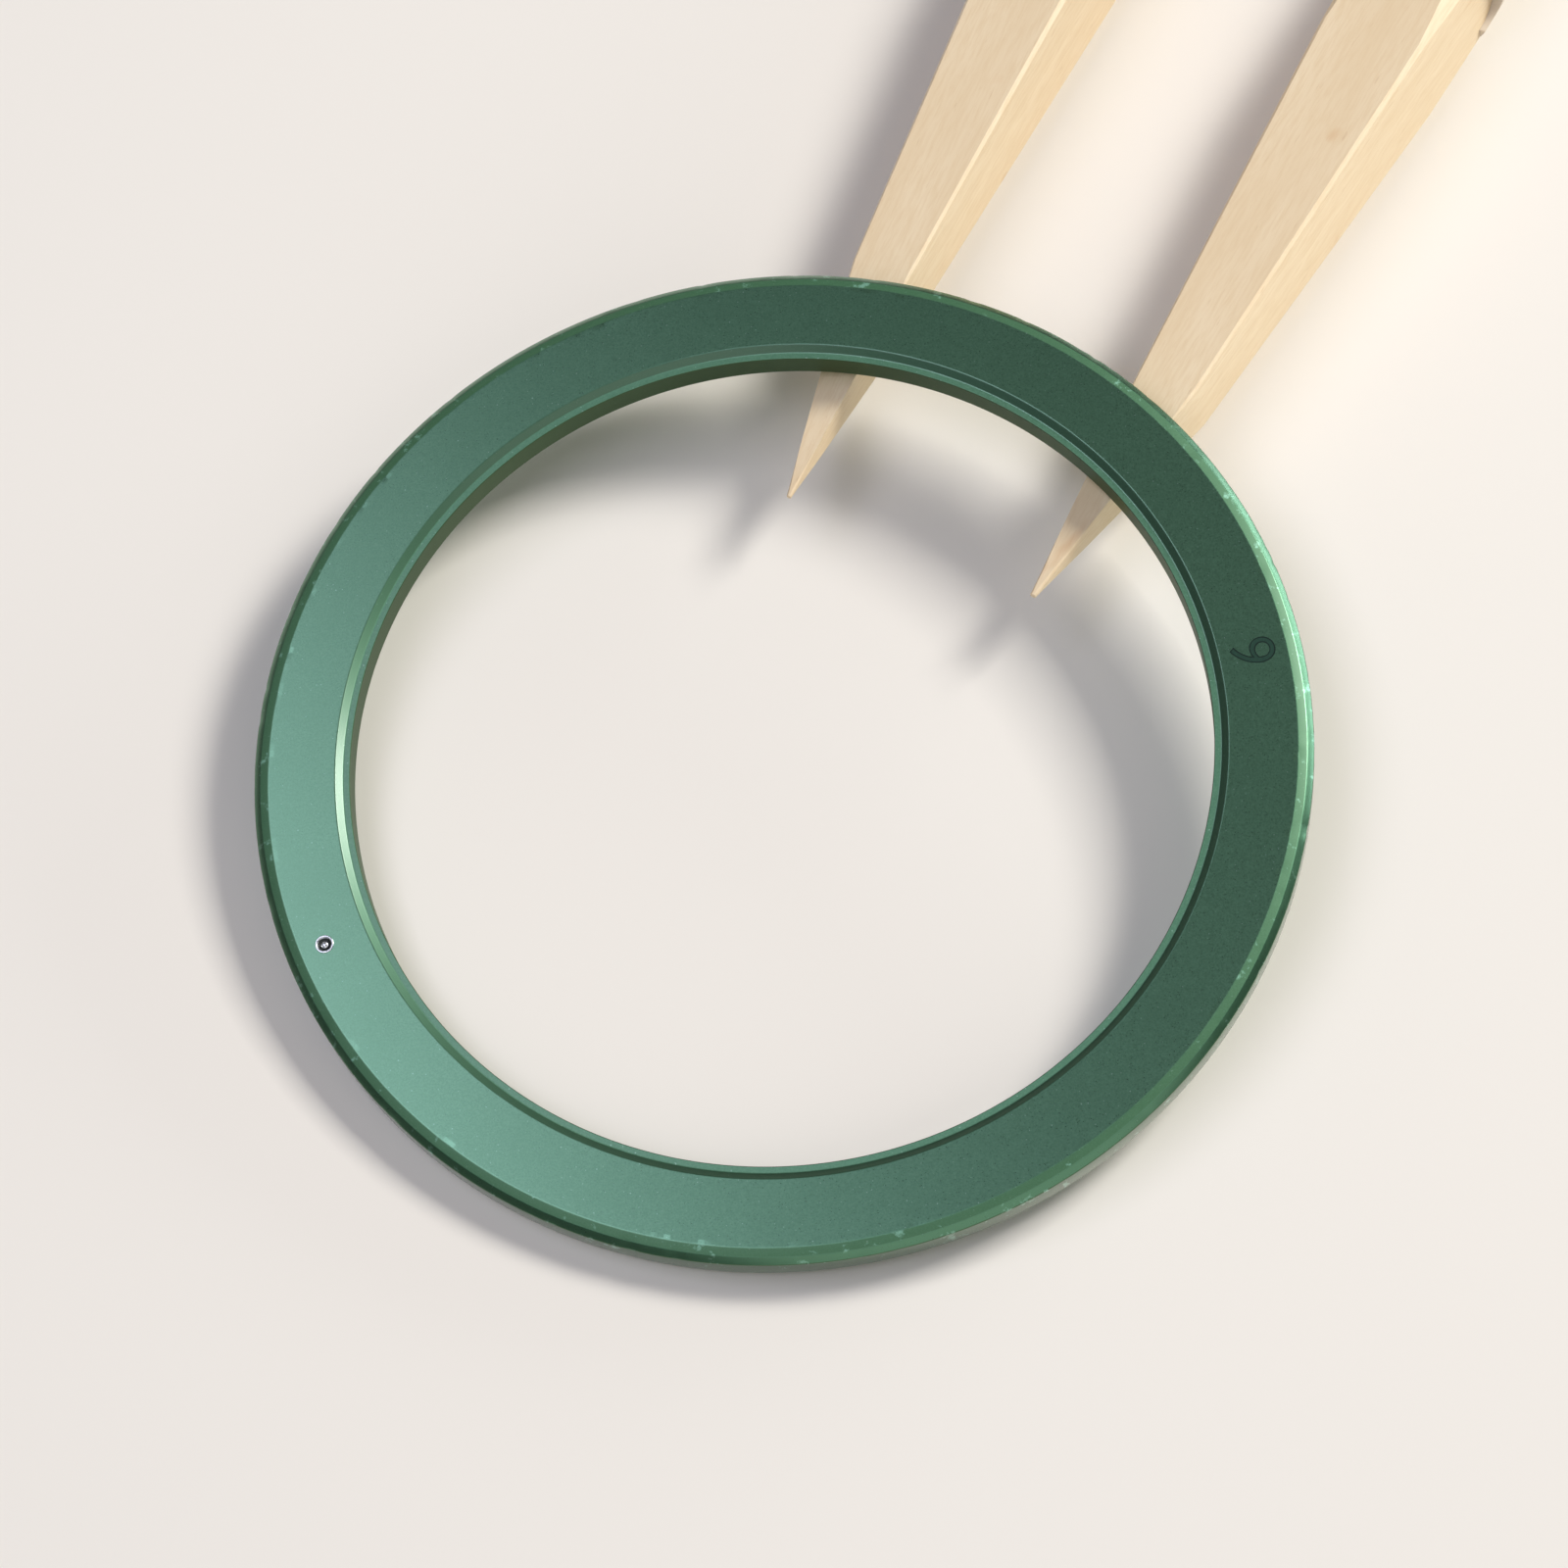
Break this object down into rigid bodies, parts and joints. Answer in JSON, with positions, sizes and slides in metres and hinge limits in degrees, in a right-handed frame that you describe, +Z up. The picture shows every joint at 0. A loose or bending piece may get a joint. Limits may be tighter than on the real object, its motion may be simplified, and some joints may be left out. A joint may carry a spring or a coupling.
{
  "type": "circular knitting needle",
  "caption": "Pair of faceted wooden circular-needle tips with pale grey ferrules and swivelling cable sockets, under a flat green plastic stitch ring.",
  "frame": {"origin": "centre of the footprint, on the table that the ring and both ferrules rest on", "axes": "+Z up, +X to the right and +Y away from someone who looks at the ring with the tips beyond it"},
  "size_m": [0.0999, 0.1248, 0.0099],
  "materials": {
    "ring_plastic": "satin",
    "mark_ink": "satin",
    "tip_wood": "satin",
    "ferrule_plastic": "satin",
    "swivel_metal": "satin",
    "washer_brass": "satin"
  },
  "bodies": {
    "ring": {"marker_ring": "ring_plastic", "ring_pin": "swivel_metal", "ring_pin_bush": "mark_ink", "size_mark": "mark_ink"},
    "left_tip": {"left_tip_wood": "tip_wood", "left_ferrule": "ferrule_plastic", "left_pivot_screw": "swivel_metal", "left_thrust_washer": "washer_brass"},
    "left_swivel": {"left_swivel_cup": "swivel_metal", "left_cable_socket": "swivel_metal", "left_grub_screws": "swivel_metal"},
    "right_tip": {"right_tip_wood": "tip_wood", "right_ferrule": "ferrule_plastic", "right_pivot_screw": "swivel_metal", "right_thrust_washer": "washer_brass"},
    "right_swivel": {"right_swivel_cup": "swivel_metal", "right_cable_socket": "swivel_metal", "right_grub_screws": "swivel_metal"}
  },
  "joints": [
    {"name": "left_tip_draw", "type": "slide", "parent": "ring", "child": "left_tip", "axis": [0.497, 0.8678, 0], "range_m": [0, 0.025]},
    {"name": "left_swivel_turn", "type": "hinge", "parent": "left_tip", "child": "left_swivel", "pos_m": [0.01664, 0.04535, 0.00495], "axis": [0.497, 0.8678, 0], "continuous": true},
    {"name": "right_tip_draw", "type": "slide", "parent": "ring", "child": "right_tip", "axis": [0.5736, 0.8192, 0], "range_m": [0, 0.025]},
    {"name": "right_swivel_turn", "type": "hinge", "parent": "right_tip", "child": "right_swivel", "pos_m": [0.03747, 0.03235, 0.00495], "axis": [0.5736, 0.8192, 0], "continuous": true}
  ]
}
